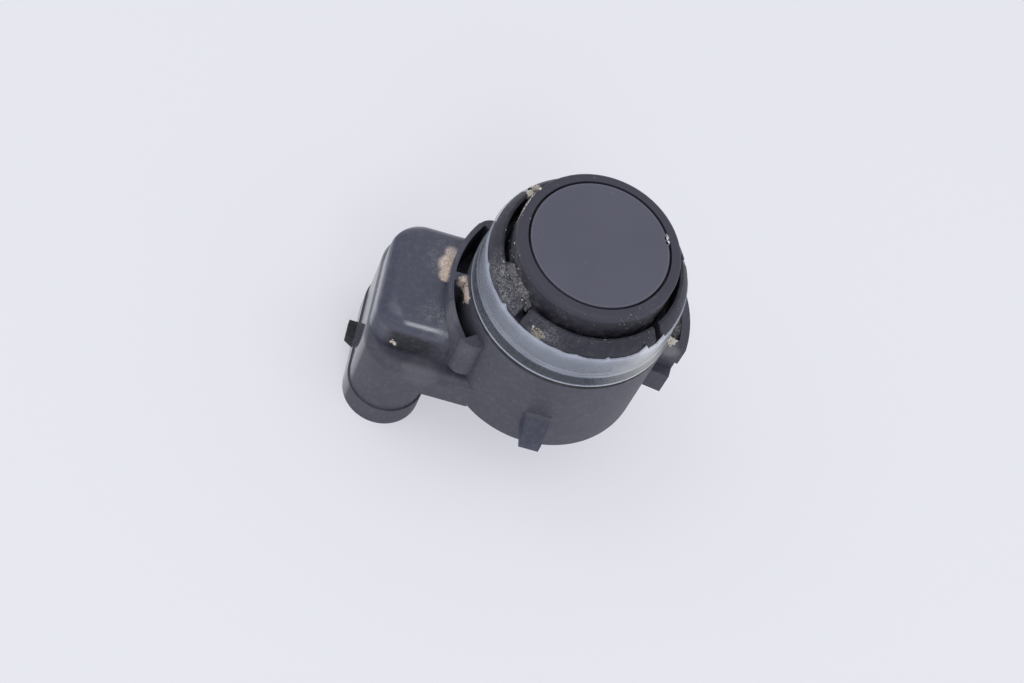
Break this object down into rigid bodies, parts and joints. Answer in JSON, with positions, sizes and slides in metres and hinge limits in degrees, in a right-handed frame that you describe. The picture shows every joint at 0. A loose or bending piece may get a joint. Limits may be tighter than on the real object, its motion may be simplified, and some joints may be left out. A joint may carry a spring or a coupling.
{
  "type": "parking sensor",
  "caption": "Ultrasonic parking sensor: round sensing face in a soft ring, translucent seal, barrel with bracket lugs and a side arm with a plug socket.",
  "frame": {"origin": "on the sensor's axis in the seat plane, at the front face of the castellated ring, where the bumper skin's back face lies", "axes": "+Z out of the sensing face along the sensor's axis, -X from the axis to the plug socket's arm"},
  "size_m": [0.0363, 0.0294, 0.0342],
  "materials": {
    "face": "satin dark grey",
    "soft_ring": "matt, dusty",
    "body_plastic": "matt, moulded",
    "seal": "translucent silicone",
    "ceramic": "fired ceramic with silvered faces",
    "foam": "foam",
    "filler": "silicone",
    "board": "solder resist",
    "chip": "moulded",
    "ferrite": "ferrite",
    "copper": "enamelled wire",
    "tantalum": "moulded",
    "tan_ceramic": "fired ceramic",
    "tin": "tinned"
  },
  "bodies": {
    "root": {"membrane_cup": "face", "piezo_disc": "ceramic", "damping_pad": "foam", "cup_filler": "filler", "decoupling_ring": "soft_ring", "retaining_ring": "body_plastic", "sealing_ring": "seal", "housing": "body_plastic", "rear_cover": "body_plastic", "circuit_board": "board", "control_chip": "chip", "transformer_core": "ferrite", "transformer_winding": "copper", "reservoir_capacitor": "tantalum", "protection_diode": "chip", "chip_capacitors": "tan_ceramic", "chip_resistors": "chip", "piezo_lead_signal": "tin", "piezo_lead_ground": "tin", "terminal_supply": "tin", "terminal_signal": "tin", "terminal_ground": "tin"}
  },
  "joints": []
}
